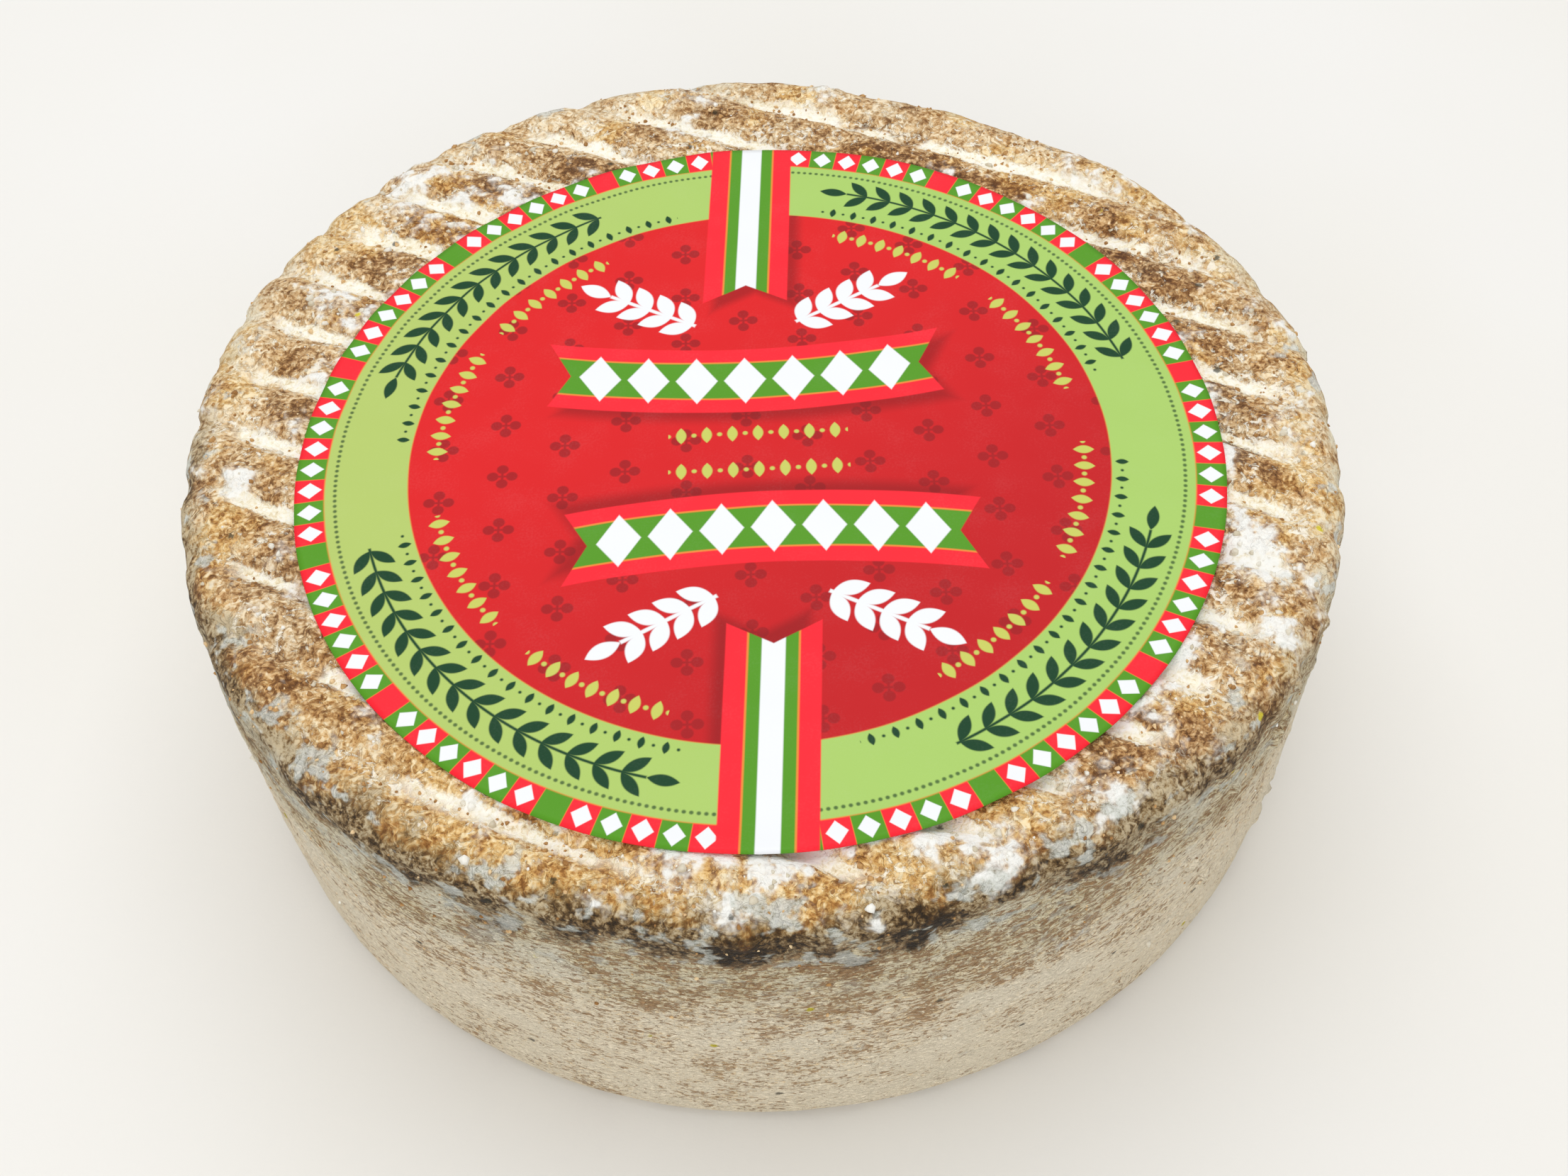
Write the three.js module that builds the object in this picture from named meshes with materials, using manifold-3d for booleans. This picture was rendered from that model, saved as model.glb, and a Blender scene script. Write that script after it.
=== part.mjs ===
// A whole pressed cheese wheel with a round paper label on its top face.
// Millimetres, +Z up. The origin is the middle of the base, and -Y is the front.

import * as THREE from 'three';
import { mergeVertices } from 'three/addons/utils/BufferGeometryUtils.js';
import Module from 'manifold-3d';

// The wheel
const WHEEL_RADIUS = 127; // mean radius where the wall meets the shoulder
const WHEEL_HEIGHT = 90;
const LONG_WAY_EXTRA = 2; // the outline is this much longer along the grooves, and as much shorter across
const WALL_LEAN = 1.5; // the wall draws in by this much on its way down to the foot
const WALL_BULGE = 0.8; // how far the wall swells out half way up

// Rounded edges: reach is measured along the flat face, drop and rise along the wall
const SHOULDER_REACH = 10;
const SHOULDER_DROP = 7;
const FOOT_REACH = 6.5;
const FOOT_RISE = 4.5;

// Grooves that the bars of the ripening rack press into both flat faces
const GROOVE_DIRECTION = THREE.MathUtils.degToRad(-25.8);
const GROOVE_SPACING = 16.4;
const GROOVE_WIDTH = 7;
const GROOVE_DEPTH = 1.5;
const TOP_FIRST_GROOVE = 3.2; // how far the groove nearest the centre lies to its left
const BASE_FIRST_GROOVE = GROOVE_SPACING / 2; // leaves flat material at the centre of the base

// The label, a little nearer the front than the wheel's centre
const LABEL_RADIUS = 100;
const LABEL_THICKNESS = 0.3;
const LABEL_GAP = 0.3; // clear space between the paper and the face under it
const LABEL_SHIFT_X = 0.9;
const LABEL_SHIFT_Y = -9.9;

// How finely round stretches are cut into flats
const WHEEL_SEGMENTS = 120;
const SHOULDER_STEPS = 7;
const FOOT_STEPS = 5;
const WALL_STEPS = 8;
const BAR_SIDES = 24;

const wasm = await Module();
wasm.setup();

/** Turns a closed three.js geometry into a solid that can be cut. */
function toSolid(geometry) {
  const bare = geometry.clone();
  bare.deleteAttribute('normal');
  bare.deleteAttribute('uv');
  const merged = mergeVertices(bare, 1e-4);
  return new wasm.Manifold(new wasm.Mesh({
    numProp: 3,
    vertProperties: new Float32Array(merged.attributes.position.array),
    triVerts: new Uint32Array(merged.index.array),
  }));
}

/** Turns a cut solid back into a three.js geometry. */
function toGeometry(solid) {
  const { vertProperties, triVerts } = solid.getMesh();
  const geometry = new THREE.BufferGeometry();
  geometry.setAttribute('position', new THREE.BufferAttribute(new Float32Array(vertProperties), 3));
  geometry.setIndex(new THREE.BufferAttribute(new Uint32Array(triVerts), 1));
  geometry.computeVertexNormals();
  return geometry;
}

/** Turns a profile, given as radius and height from the axis to the axis, about +Z. */
function turned(profile, segments) {
  const geometry = new THREE.LatheGeometry(profile, segments);
  geometry.rotateX(Math.PI / 2);
  return geometry;
}

/** The wheel's outline from the middle of its base to the middle of its top. */
function wheelProfile() {
  const footRadius = WHEEL_RADIUS - WALL_LEAN;
  const shoulderStart = WHEEL_HEIGHT - SHOULDER_DROP;
  const profile = [new THREE.Vector2(0, 0)];
  for (let i = 0; i <= FOOT_STEPS; i++) {
    const turn = (i / FOOT_STEPS) * (Math.PI / 2);
    profile.push(new THREE.Vector2(
      footRadius - FOOT_REACH * (1 - Math.sin(turn)),
      FOOT_RISE * (1 - Math.cos(turn)),
    ));
  }
  for (let i = 1; i < WALL_STEPS; i++) {
    const share = i / WALL_STEPS;
    profile.push(new THREE.Vector2(
      footRadius + WALL_LEAN * share + WALL_BULGE * 4 * share * (1 - share),
      THREE.MathUtils.lerp(FOOT_RISE, shoulderStart, share),
    ));
  }
  for (let i = 0; i <= SHOULDER_STEPS; i++) {
    const turn = (i / SHOULDER_STEPS) * (Math.PI / 2);
    profile.push(new THREE.Vector2(
      WHEEL_RADIUS - SHOULDER_REACH * (1 - Math.cos(turn)),
      shoulderStart + SHOULDER_DROP * Math.sin(turn),
    ));
  }
  profile.push(new THREE.Vector2(0, WHEEL_HEIGHT));
  return profile;
}

/** Stretches a round geometry a little along the grooves and narrows it across them. */
function makeOval(geometry) {
  const places = geometry.attributes.position;
  for (let i = 0; i < places.count; i++) {
    const x = places.getX(i);
    const y = places.getY(i);
    const fromLongWay = Math.atan2(y, x) - GROOVE_DIRECTION;
    const stretch = 1 + (LONG_WAY_EXTRA / WHEEL_RADIUS) * Math.cos(2 * fromLongWay);
    places.setXY(i, x * stretch, y * stretch);
  }
  return geometry;
}

/** Cuts one face's parallel grooves; side is 1 for the top face and -1 for the base. */
function cutGrooves(solid, firstGroove, side) {
  const barRadius = (GROOVE_WIDTH ** 2 / 4 + GROOVE_DEPTH ** 2) / (2 * GROOVE_DEPTH);
  const face = side > 0 ? WHEEL_HEIGHT : 0;
  const flatRadius = WHEEL_RADIUS - SHOULDER_REACH;
  const first = -Math.floor((flatRadius + firstGroove) / GROOVE_SPACING);
  const last = Math.floor((flatRadius - firstGroove) / GROOVE_SPACING);
  let cut = solid;
  for (let i = first; i <= last; i++) {
    const offset = firstGroove + i * GROOVE_SPACING;
    const bar = new THREE.CylinderGeometry(barRadius, barRadius, 3 * WHEEL_RADIUS, BAR_SIDES);
    bar.rotateZ(GROOVE_DIRECTION - Math.PI / 2);
    bar.translate(
      -offset * Math.sin(GROOVE_DIRECTION),
      offset * Math.cos(GROOVE_DIRECTION),
      face + side * (barRadius - GROOVE_DEPTH),
    );
    cut = cut.subtract(toSolid(bar));
  }
  return cut;
}

/** The wheel: one piece of cheese, rind and all. */
function cheeseWheel() {
  let solid = toSolid(makeOval(turned(wheelProfile(), WHEEL_SEGMENTS)));
  solid = cutGrooves(solid, TOP_FIRST_GROOVE, 1);
  solid = cutGrooves(solid, BASE_FIRST_GROOVE, -1);
  const material = new THREE.MeshStandardMaterial({ color: 0xb59b74, roughness: 0.85, metalness: 0 });
  const mesh = new THREE.Mesh(toGeometry(solid), material);
  mesh.name = 'cheese_wheel';
  return mesh;
}

/** The label: a flat round sheet that bridges the grooves. */
function paperLabel() {
  const profile = [
    new THREE.Vector2(0, 0),
    new THREE.Vector2(LABEL_RADIUS, 0),
    new THREE.Vector2(LABEL_RADIUS, LABEL_THICKNESS),
    new THREE.Vector2(0, LABEL_THICKNESS),
  ];
  const material = new THREE.MeshStandardMaterial({ color: 0xd0322f, roughness: 0.45, metalness: 0 });
  const mesh = new THREE.Mesh(turned(profile, WHEEL_SEGMENTS), material);
  mesh.position.set(LABEL_SHIFT_X, LABEL_SHIFT_Y, WHEEL_HEIGHT + LABEL_GAP);
  mesh.name = 'paper_label';
  return mesh;
}

const wheel = new THREE.Group();
wheel.add(cheeseWheel(), paperLabel());

export default wheel;
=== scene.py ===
"""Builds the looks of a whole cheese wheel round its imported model.

The wheel and its paper label are shapes that follow a rule, so Geometry Nodes make them from named
sizes. Tufts of mould and crumbs of rind are scattered over the wheel. Places are worked out in
millimetres on the object, and the finished meshes are in metres.
"""

from __future__ import annotations

import logging
import math
from dataclasses import dataclass, field
from enum import Enum, IntEnum
from typing import Any, Union

import bpy
from mathutils import Matrix, Vector

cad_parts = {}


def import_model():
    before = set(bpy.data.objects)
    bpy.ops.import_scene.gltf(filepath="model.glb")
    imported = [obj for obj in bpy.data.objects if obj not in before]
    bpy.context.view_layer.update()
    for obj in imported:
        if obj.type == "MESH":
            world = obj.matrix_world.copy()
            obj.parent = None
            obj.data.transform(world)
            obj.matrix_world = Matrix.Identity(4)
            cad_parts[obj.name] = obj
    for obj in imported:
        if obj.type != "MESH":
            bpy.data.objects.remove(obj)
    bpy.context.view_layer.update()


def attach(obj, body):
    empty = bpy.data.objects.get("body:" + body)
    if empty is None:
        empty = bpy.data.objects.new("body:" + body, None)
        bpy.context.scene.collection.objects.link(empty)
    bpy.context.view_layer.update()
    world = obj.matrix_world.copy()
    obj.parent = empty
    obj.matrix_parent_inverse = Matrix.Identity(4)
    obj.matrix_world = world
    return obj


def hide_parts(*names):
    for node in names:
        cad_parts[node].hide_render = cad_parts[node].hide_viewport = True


LOG = logging.getLogger("cheese_wheel")
MM = 0.001
NEAR = 1e-4  # how close two shares count as equal
TINY = 1e-6  # keeps a division away from zero
QUARTER_TURN = math.pi / 2
TO_ARC = math.pi / 180

RIM_PATH = "rim_path"  # the number that tells how far past the flat face's edge a point lies
TONE = "tone"  # the number that tells crumbs apart

LABEL_MIDDLE = (0.9, -9.9)  # millimetres from the wheel's axis
LABEL_RADIUS = 100.0

Number = Union["Sock", float, int]
Colour = tuple[float, float, float, float]
Shades = tuple[Colour, ...]


def paint(red: int, green: int, blue: int) -> Colour:
    """Turns a screen colour into the linear colour that a shader takes.

    Args:
        red: Red from 0 to 255.
        green: Green from 0 to 255.
        blue: Blue from 0 to 255.

    Returns:
        The linear colour, opaque.
    """

    def linear(level: int) -> float:
        """Turns one level into linear light."""
        share = level / 255
        return share / 12.92 if share <= 0.04045 else ((share + 0.055) / 1.055) ** 2.4

    return (linear(red), linear(green), linear(blue), 1.0)


def shades(*levels: tuple[int, int, int]) -> Shades:
    """Turns screen colours, from dark to light, into a finish's shades."""
    return tuple(paint(*level) for level in levels)


class Sock:
    """One value in a node tree. Arithmetic on it adds Math nodes."""

    def __init__(self, sheet: NodeSheet, socket: bpy.types.NodeSocket) -> None:
        """Keeps the tree and the socket that the value comes from."""
        self.sheet = sheet
        self.socket = socket

    def __add__(self, other: Number) -> Sock:
        """This plus a value."""
        return self.sheet.math("ADD", self, other)

    def __radd__(self, other: Number) -> Sock:
        """A value plus this."""
        return self.sheet.math("ADD", other, self)

    def __sub__(self, other: Number) -> Sock:
        """This less a value."""
        return self.sheet.math("SUBTRACT", self, other)

    def __rsub__(self, other: Number) -> Sock:
        """A value less this."""
        return self.sheet.math("SUBTRACT", other, self)

    def __mul__(self, other: Number) -> Sock:
        """This times a value."""
        return self.sheet.math("MULTIPLY", self, other)

    def __rmul__(self, other: Number) -> Sock:
        """A value times this."""
        return self.sheet.math("MULTIPLY", other, self)

    def __truediv__(self, other: Number) -> Sock:
        """This over a value."""
        return self.sheet.math("DIVIDE", self, other)

    def __rtruediv__(self, other: Number) -> Sock:
        """A value over this."""
        return self.sheet.math("DIVIDE", other, self)

    def __mod__(self, other: Number) -> Sock:
        """What is left of this after whole steps of a value, never negative."""
        return self.sheet.math("FLOORED_MODULO", self, other)

    def __pow__(self, other: Number) -> Sock:
        """This to a power."""
        return self.sheet.math("POWER", self, other)

    def __neg__(self) -> Sock:
        """This with its sign changed."""
        return self.sheet.math("MULTIPLY", self, -1.0)

    def __abs__(self) -> Sock:
        """This without its sign."""
        return self.sheet.math("ABSOLUTE", self)

    def __gt__(self, other: Number) -> Sock:
        """1 where this is above a value, else 0."""
        return self.sheet.math("GREATER_THAN", self, other)

    def __lt__(self, other: Number) -> Sock:
        """1 where this is below a value, else 0."""
        return self.sheet.math("LESS_THAN", self, other)


class NodeSheet:
    """A node tree, for a finish or a shape, that is written with Python expressions."""

    def __init__(self, tree: bpy.types.NodeTree) -> None:
        """Keeps the tree that nodes are added to."""
        self.tree = tree

    def add(
        self,
        kind: str,
        settings: dict[str, Any] | None = None,
        inputs: dict[Any, Any] | None = None,
    ) -> bpy.types.Node:
        """Adds one node.

        Args:
            kind: The node's type.
            settings: Its settings, made before its sockets are filled. "stops" fills a ramp.
            inputs: The values or links of its sockets, by name or number.

        Returns:
            The new node.
        """
        node = self.tree.nodes.new(kind)
        for name, value in (settings or {}).items():
            if name == "stops":
                self._fill_ramp(node.color_ramp, value)
            else:
                setattr(node, name, value)
        for key, value in (inputs or {}).items():
            self.feed(node.inputs[key], value)
        return node

    def feed(self, socket: bpy.types.NodeSocket, value: Any) -> None:
        """Links a value to a socket, or sets the socket to a plain number or colour.

        Args:
            socket: The socket to fill.
            value: A Sock, a number, a colour or a vector.
        """
        if isinstance(value, Sock):
            self.tree.links.new(value.socket, socket)
        else:
            socket.default_value = value

    @staticmethod
    def _fill_ramp(ramp: bpy.types.ColorRamp, stops: list[tuple[float, Colour]]) -> None:
        """Gives a ramp its stops.

        Args:
            ramp: The ramp.
            stops: Places from 0 to 1 and their colours, in order.
        """
        while len(ramp.elements) < len(stops):
            ramp.elements.new(1.0)
        for element, (place, colour) in zip(ramp.elements, stops):
            element.position = place
            element.color = colour

    def math(self, operation: str, *values: Number) -> Sock:
        """Adds a Math node and returns its value."""
        node = self.add("ShaderNodeMath", {"operation": operation}, dict(enumerate(values)))
        return Sock(self, node.outputs[0])

    def least(self, one: Number, other: Number) -> Sock:
        """The lower of two numbers."""
        return self.math("MINIMUM", one, other)

    def most(self, one: Number, other: Number) -> Sock:
        """The higher of two numbers."""
        return self.math("MAXIMUM", one, other)

    def length(self, along: Sock, across: Sock) -> Sock:
        """How far a point lies that is so far along and so far across."""
        return self.math("SQRT", along * along + across * across)

    def step(self, value: Number, start: Number, end: Number) -> Sock:
        """Rises smoothly from 0 to 1.

        Args:
            value: The value that is looked at.
            start: Where the rise starts.
            end: Where it ends. Below start, it is a fall instead.

        Returns:
            A value from 0 to 1.
        """
        node = self.add(
            "ShaderNodeMapRange",
            {"interpolation_type": "SMOOTHSTEP"},
            {"Value": value, "From Min": start, "From Max": end},
        )
        return Sock(self, node.outputs[0])

    def clamp(self, value: Number) -> Sock:
        """Keeps a value from 0 to 1."""
        return Sock(self, self.add("ShaderNodeClamp", None, {0: value}).outputs[0])

    def cover(self, distance: Number, soft: float) -> Sock:
        """1 inside a shape, where its distance is below 0, with an edge of twice soft."""
        return self.step(distance, soft, -soft)

    def blend(self, factor: Number, low: Number, high: Number) -> Sock:
        """Goes from one number to another as a factor goes from 0 to 1."""
        node = self.add("ShaderNodeMix", {"data_type": "FLOAT"}, {0: factor, 2: low, 3: high})
        return Sock(self, node.outputs[0])

    def mix(self, factor: Number, low: Any, high: Any) -> Sock:
        """Goes from one colour to another as a factor goes from 0 to 1."""
        node = self.add("ShaderNodeMix", {"data_type": "RGBA"}, {0: factor, 6: low, 7: high})
        return Sock(self, node.outputs[2])

    def ramp(self, value: Number, stops: list[tuple[float, Colour]]) -> Sock:
        """Turns a value from 0 to 1 into a colour."""
        node = self.add("ShaderNodeValToRGB", {"stops": stops}, {0: value})
        return Sock(self, node.outputs[0])

    def scale(self, vector: Sock, factor: Number) -> Sock:
        """Makes a vector longer or shorter.

        Args:
            vector: The vector.
            factor: How many times as long it becomes.

        Returns:
            The scaled vector.
        """
        node = self.add(
            "ShaderNodeVectorMath", {"operation": "SCALE"}, {0: vector, "Scale": factor}
        )
        return Sock(self, node.outputs[0])

    def split(self, vector: Sock) -> tuple[Sock, Sock, Sock]:
        """Splits a vector into its three numbers."""
        node = self.add("ShaderNodeSeparateXYZ", None, {0: vector})
        return tuple(Sock(self, output) for output in node.outputs)

    def join(self, x: Number, y: Number, z: Number) -> Sock:
        """Makes a vector of three numbers."""
        return Sock(self, self.add("ShaderNodeCombineXYZ", None, {0: x, 1: y, 2: z}).outputs[0])

    def from_label(self, x: Sock, y: Sock) -> Sock:
        """How far a point lies outside the label's edge, in millimetres, below 0 under it."""
        return self.length(x - LABEL_MIDDLE[0], y - LABEL_MIDDLE[1]) - LABEL_RADIUS

    def noise(
        self, place: Sock, size: float, detail: float = 2.0, rough: float = 0.5, warp: float = 0.0
    ) -> Sock:
        """Cloudy noise about 0.5.

        Args:
            place: Where it is looked up, in millimetres.
            size: How large its clouds are, in millimetres.
            detail: How many finer layers it has.
            rough: How strong the finer layers are.
            warp: How far its clouds are twisted.

        Returns:
            A value from 0 to 1.
        """
        node = self.add(
            "ShaderNodeTexNoise",
            {"noise_dimensions": "3D"},
            {
                "Vector": place,
                "Scale": 1 / size,
                "Detail": detail,
                "Roughness": rough,
                "Distortion": warp,
            },
        )
        return Sock(self, node.outputs[0])

    def cells(self, place: Sock, size: float) -> tuple[Sock, Sock]:
        """Scattered points and the cells round them.

        Args:
            place: Where they are looked up, in millimetres.
            size: How far apart they lie, in millimetres.

        Returns:
            The distance to the nearest point, 0 to about 1, and that cell's own random number.
        """
        node = self.add(
            "ShaderNodeTexVoronoi",
            {"voronoi_dimensions": "3D", "feature": "F1"},
            {"Vector": place, "Scale": 1 / size},
        )
        own = self.add("ShaderNodeSeparateXYZ", None, {0: Sock(self, node.outputs["Color"])})
        return Sock(self, node.outputs["Distance"]), Sock(self, own.outputs[0])


class FinishSheet(NodeSheet):
    """The node tree of one material."""

    def __init__(self, name: str) -> None:
        """Starts a material with an empty tree.

        Args:
            name: The material's name.
        """
        self.material = bpy.data.materials.new(name)
        self.material.use_nodes = True
        super().__init__(self.material.node_tree)
        self.tree.nodes.clear()

    def place(self) -> Sock:
        """Where a point lies on the object, in millimetres."""
        node = self.add("ShaderNodeTexCoord")
        return self.scale(Sock(self, node.outputs["Object"]), 1 / MM)

    def attribute(self, name: str) -> Sock:
        """A number that the mesh carries."""
        node = self.add("ShaderNodeAttribute", {"attribute_name": name})
        return Sock(self, node.outputs["Fac"])

    def relief(self, height: Sock) -> Sock:
        """Turns a height in millimetres into a bumpy surface direction."""
        node = self.add("ShaderNodeBump", None, {"Strength": 1.0, "Distance": MM, "Height": height})
        return Sock(self, node.outputs[0])

    def finish(self, sockets: dict[str, Any]) -> bpy.types.Material:
        """Ends the tree in one surface shader.

        Args:
            sockets: The shader's sockets and their values or links.

        Returns:
            The material.
        """
        shader = self.add("ShaderNodeBsdfPrincipled", None, sockets)
        surface = Sock(self, shader.outputs[0])
        self.add("ShaderNodeOutputMaterial", None, {"Surface": surface})
        return self.material


class ShapeSheet(NodeSheet):
    """A Geometry Nodes tree that makes one piece from named sizes."""

    SOCKETS = {float: "NodeSocketFloat", int: "NodeSocketInt"}

    def __init__(self, name: str, sizes: dict[str, Any]) -> None:
        """Starts a tree with an input for each size.

        Args:
            name: The tree's name.
            sizes: Each input's name and value: a number, a whole number or an object.
        """
        super().__init__(bpy.data.node_groups.new(name, "GeometryNodeTree"))
        self.sizes = sizes
        self.sockets = {
            label: self.tree.interface.new_socket(
                label, in_out="INPUT", socket_type=self.SOCKETS.get(type(value), "NodeSocketObject")
            )
            for label, value in sizes.items()
        }
        self.tree.interface.new_socket(
            "Geometry", in_out="OUTPUT", socket_type="NodeSocketGeometry"
        )
        self.entry = self.tree.nodes.new("NodeGroupInput")

    def size(self, name: str) -> Sock:
        """One of the tree's named inputs."""
        return Sock(self, self.entry.outputs[name])

    def blank(self, around: Sock, rows: Number, rings: Sock, depth: float) -> Sock:
        """A plain closed cylinder of radius 1, about the origin.

        Args:
            around: How many points it has around.
            rows: How many rows its wall has.
            rings: How many rings each flat face has.
            depth: How tall it is.

        Returns:
            The cylinder.
        """
        node = self.add(
            "GeometryNodeMeshCylinder",
            {"fill_type": "TRIANGLE_FAN"},
            {
                "Vertices": around,
                "Side Segments": rows,
                "Fill Segments": rings,
                "Radius": 1.0,
                "Depth": depth,
            },
        )
        return Sock(self, node.outputs["Mesh"])

    def spot(self) -> Sock:
        """Where a point lies, as it is."""
        return Sock(self, self.add("GeometryNodeInputPosition").outputs[0])

    def place(self) -> Sock:
        """Where a point lies on the object, in millimetres."""
        return self.scale(self.spot(), 1 / MM)

    def carried(self, name: str) -> Sock:
        """A number that the mesh carries."""
        node = self.add(
            "GeometryNodeInputNamedAttribute", {"data_type": "FLOAT"}, {"Name": name}
        )
        return Sock(self, node.outputs[0])

    def normal(self) -> Sock:
        """Which way the surface faces."""
        return Sock(self, self.add("GeometryNodeInputNormal").outputs[0])

    def move_to(self, shape: Sock, place: Sock) -> Sock:
        """Puts each point at a place in millimetres."""
        inputs = {"Geometry": shape, "Position": self.scale(place, MM)}
        return Sock(self, self.add("GeometryNodeSetPosition", None, inputs).outputs[0])

    def push(self, shape: Sock, offset: Sock) -> Sock:
        """Moves each point by a vector in millimetres."""
        inputs = {"Geometry": shape, "Offset": self.scale(offset, MM)}
        return Sock(self, self.add("GeometryNodeSetPosition", None, inputs).outputs[0])

    def store(self, shape: Sock, name: str, value: Sock, domain: str = "POINT") -> Sock:
        """Writes a number onto a shape.

        Args:
            shape: The geometry.
            name: The number's name.
            value: The number.
            domain: What carries it: POINT or INSTANCE.

        Returns:
            The geometry with the number on it.
        """
        node = self.add(
            "GeometryNodeStoreNamedAttribute",
            {"data_type": "FLOAT", "domain": domain},
            {"Geometry": shape, "Name": name, "Value": value},
        )
        return Sock(self, node.outputs[0])

    def random(self, low: float, high: float, seed: int) -> Sock:
        """A random number for each point.

        Args:
            low: The least it can be.
            high: The most it can be.
            seed: The seed of the draw.

        Returns:
            The number.
        """
        node = self.add("FunctionNodeRandomValue", {"data_type": "FLOAT"})
        for name, value in (("Min", low), ("Max", high)):
            next(s for s in node.inputs if s.name == name and s.type == "VALUE").default_value = value
        node.inputs["Seed"].default_value = seed
        return Sock(self, next(s for s in node.outputs if s.type == "VALUE" and s.enabled))

    def make(self, name: str, shape: Sock, material: bpy.types.Material) -> bpy.types.Object:
        """Ends the tree, runs it, and keeps its result as a plain mesh.

        Args:
            name: The piece's name.
            shape: The geometry that the tree makes.
            material: What it is made of.

        Returns:
            The piece, at the origin.
        """
        real = self.add("GeometryNodeRealizeInstances", None, {0: shape})
        dressed = self.add(
            "GeometryNodeSetMaterial", None, {0: Sock(self, real.outputs[0]), "Material": material}
        )
        self.add("NodeGroupOutput", None, {0: Sock(self, dressed.outputs[0])})

        piece = bpy.data.objects.new(name, bpy.data.meshes.new(name))
        bpy.context.collection.objects.link(piece)
        modifier = piece.modifiers.new(self.tree.name, "NODES")
        modifier.node_group = self.tree
        for label, value in self.sizes.items():
            modifier[self.sockets[label].identifier] = value
        graph = bpy.context.evaluated_depsgraph_get()
        graph.update()
        mesh = bpy.data.meshes.new_from_object(
            piece.evaluated_get(graph), preserve_all_data_layers=True, depsgraph=graph
        )
        piece.modifiers.clear()
        piece.data = mesh
        mesh.name = name
        mesh.shade_smooth()
        return piece


@dataclass(frozen=True)
class RackPrint:
    """The parallel grooves that the bars of the ripening rack press into both flat faces."""

    direction: float = math.radians(-25.8)
    spacing: float = 16.4
    width: float = 7.0
    depth: float = 1.5
    top_first: float = 3.2
    base_first: float = 8.2
    waver: float = 3.0
    middle_height: float = 45.0

    def distance(self, sheet: NodeSheet, place: Sock) -> Sock:
        """How far a point lies from the middle of the nearest groove.

        Args:
            sheet: The tree that works it out.
            place: The point, in millimetres.

        Returns:
            The distance in millimetres, up to half the spacing.
        """
        x, y, z = sheet.split(place)
        wobble = (sheet.noise(place, 24, 1) - 0.5) * self.waver
        across = y * math.cos(self.direction) - x * math.sin(self.direction) + wobble
        first = sheet.blend(z > self.middle_height, self.base_first, self.top_first)
        half = self.spacing / 2
        return abs((across - first + half) % self.spacing - half)


@dataclass(frozen=True)
class MouldGrowth:
    """Where white mould grows in patches."""

    size: float = 17.0
    fluff_size: float = 3.0
    start: float = 0.56
    full: float = 0.67

    def amount(self, sheet: NodeSheet, place: Sock, rim: Sock) -> Sock:
        """How thickly mould covers a point.

        Args:
            sheet: The tree that works it out.
            place: The point, in millimetres.
            rim: How far the point is past the edge of the flat face, along the surface.

        Returns:
            0 for none to 1 for a full patch.
        """
        x, y, z = sheet.split(place)
        right_front = sheet.step(x * 0.62 - y * 0.78, 10, 105)
        from_label = sheet.from_label(x, y)
        by_label = sheet.step(from_label, 7, 0) * sheet.step(from_label, -4, 0)
        fluff = sheet.noise(place, self.fluff_size, 2, 0.6)
        clouds = sheet.noise(place, self.size, 3, 0.6) * 0.75 + fluff * 0.25
        left_back = sheet.step(y * 0.8 - x * 0.6, 60, 120)
        wanted = clouds + right_front * 0.075 + left_back * 0.035 + by_label * 0.03
        wanted = wanted - sheet.step(rim, 5, 16) * 0.13
        return sheet.step(wanted, self.start, self.full)


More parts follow.
